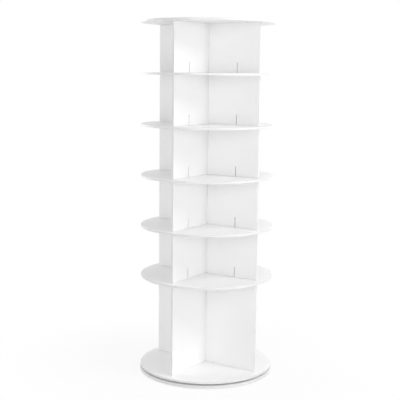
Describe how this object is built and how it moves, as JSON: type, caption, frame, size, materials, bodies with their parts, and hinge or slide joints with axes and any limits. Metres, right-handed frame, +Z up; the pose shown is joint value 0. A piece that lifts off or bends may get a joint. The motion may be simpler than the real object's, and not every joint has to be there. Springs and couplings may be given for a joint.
{
  "type": "rotating shoe tower",
  "caption": "Free-standing shoe tower: round white shelves stacked on cross dividers, with a taller boot tier, turning as one on a ball bearing above a fixed base disc.",
  "frame": {"origin": "on the floor, where the turning axis meets it", "axes": "+Z up along the turning axis, with the divider boards along X and Y at rest"},
  "size_m": [0.606, 0.606, 1.59],
  "materials": {
    "white_board": "white melamine-faced fibreboard, satin",
    "beech_dowel": "plain turned beech",
    "aluminium_ring": "die-cast, plain",
    "steel_ball": "polished bearing steel",
    "nylon_cage": "natural nylon",
    "foam_pad": "dense foam rubber, matt"
  },
  "bodies": {
    "base": {"base_disc": "white_board", "foot_pad_1": "foam_pad", "foot_pad_2": "foam_pad", "foot_pad_3": "foam_pad", "foot_pad_4": "foam_pad", "foot_pad_5": "foam_pad", "foot_pad_6": "foam_pad", "bearing_inner_ring": "aluminium_ring"},
    "ball_cage": {"ball_cage": "nylon_cage", "ball_1": "steel_ball", "ball_2": "steel_ball", "ball_3": "steel_ball", "ball_4": "steel_ball", "ball_5": "steel_ball", "ball_6": "steel_ball", "ball_7": "steel_ball", "ball_8": "steel_ball", "ball_9": "steel_ball", "ball_10": "steel_ball"},
    "tower": {"bearing_outer_ring": "aluminium_ring", "bottom_shelf": "white_board", "shelf_2": "white_board", "shelf_3": "white_board", "shelf_4": "white_board", "shelf_5": "white_board", "shelf_6": "white_board", "top_panel": "white_board", "divider_1_left_right": "white_board", "divider_1_front_back": "white_board", "divider_2_left_right": "white_board", "divider_2_front_back": "white_board", "divider_3_left_right": "white_board", "divider_3_front_back": "white_board", "divider_4_left_right": "white_board", "divider_4_front_back": "white_board", "divider_5_left_right": "white_board", "divider_5_front_back": "white_board", "divider_6_left_right": "white_board", "divider_6_front_back": "white_board", "dowel_2_right": "beech_dowel", "dowel_2_back": "beech_dowel", "dowel_2_left": "beech_dowel", "dowel_2_front": "beech_dowel", "dowel_3_right": "beech_dowel", "dowel_3_back": "beech_dowel", "dowel_3_left": "beech_dowel", "dowel_3_front": "beech_dowel", "dowel_4_right": "beech_dowel", "dowel_4_back": "beech_dowel", "dowel_4_left": "beech_dowel", "dowel_4_front": "beech_dowel", "dowel_5_right": "beech_dowel", "dowel_5_back": "beech_dowel", "dowel_5_left": "beech_dowel", "dowel_5_front": "beech_dowel", "dowel_6_right": "beech_dowel", "dowel_6_back": "beech_dowel", "dowel_6_left": "beech_dowel", "dowel_6_front": "beech_dowel"}
  },
  "joints": [
    {"name": "tower_turn", "type": "hinge", "parent": "base", "child": "tower", "pos_m": [0, 0, 0.019], "axis": [0, 0, 1], "continuous": true},
    {"name": "cage_turn", "type": "hinge", "parent": "base", "child": "ball_cage", "pos_m": [0, 0, 0.019], "axis": [0, 0, 1], "continuous": true}
  ],
  "couplings": [
    {"joint": "cage_turn", "follows": "tower_turn", "ratio": 0.50909}
  ]
}
